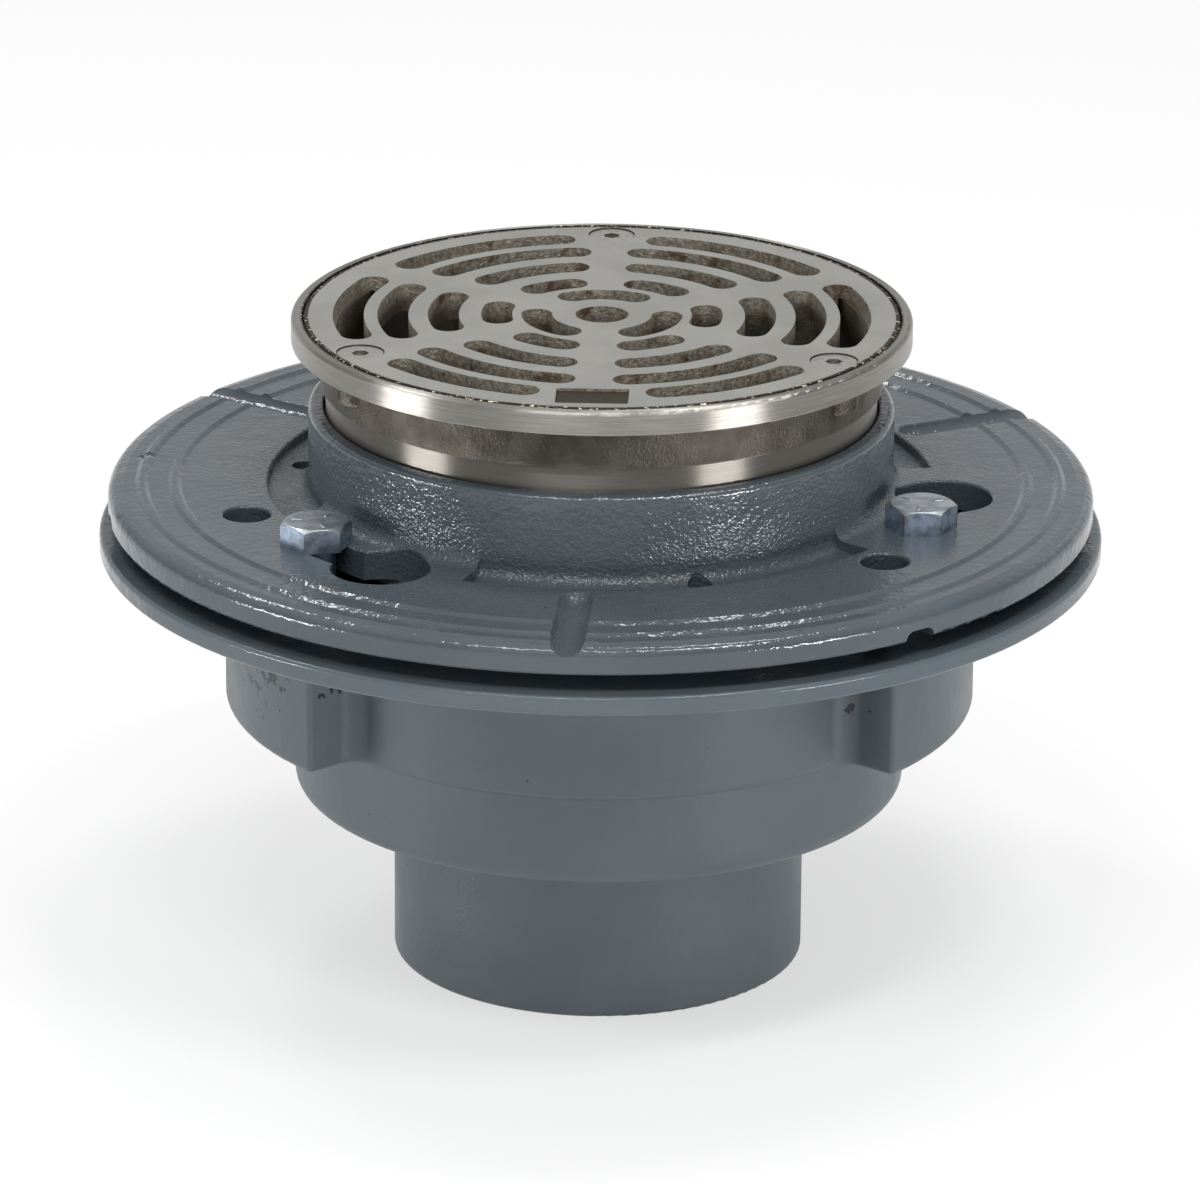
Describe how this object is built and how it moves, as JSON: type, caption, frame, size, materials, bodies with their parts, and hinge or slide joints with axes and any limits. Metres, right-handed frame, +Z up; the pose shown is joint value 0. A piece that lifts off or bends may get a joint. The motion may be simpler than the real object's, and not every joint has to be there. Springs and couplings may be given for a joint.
{
  "type": "floor drain",
  "caption": "Cast-iron area floor drain with a flanged body, plain spigot outlet, bolted clamping collar and a height-adjustable round strainer with a slotted grate.",
  "frame": {"origin": "centre of the outlet's open end, on the drain's axis", "axes": "+Z up along the drain's axis, from the outlet to the grate; +X to the right and +Y away from the viewer in the picture"},
  "size_m": [0.2062, 0.2062, 0.1377],
  "materials": {
    "epoxy_body": "blue-grey epoxy coating, glossy",
    "epoxy_collar": "blue-grey epoxy coating, glossy",
    "zinc_bolt": "bright zinc plating",
    "bronze_head": "nickel bronze, turned rim, neck as cast",
    "bronze_grate": "nickel bronze, satin face, slots as cast",
    "steel_screw": "satin stainless steel"
  },
  "bodies": {
    "drain": {"drain_body": "epoxy_body", "clamping_collar": "epoxy_collar", "clamp_bolt_1": "zinc_bolt", "clamp_bolt_2": "zinc_bolt", "clamp_bolt_3": "zinc_bolt"},
    "strainer": {"strainer_head": "bronze_head", "grate": "bronze_grate", "grate_screw_1": "steel_screw", "grate_screw_2": "steel_screw", "grate_screw_3": "steel_screw"}
  },
  "joints": [
    {"name": "head_height", "type": "slide", "parent": "drain", "child": "strainer", "axis": [0, 0, 1], "range_m": [-0.0046, 0.016]}
  ]
}
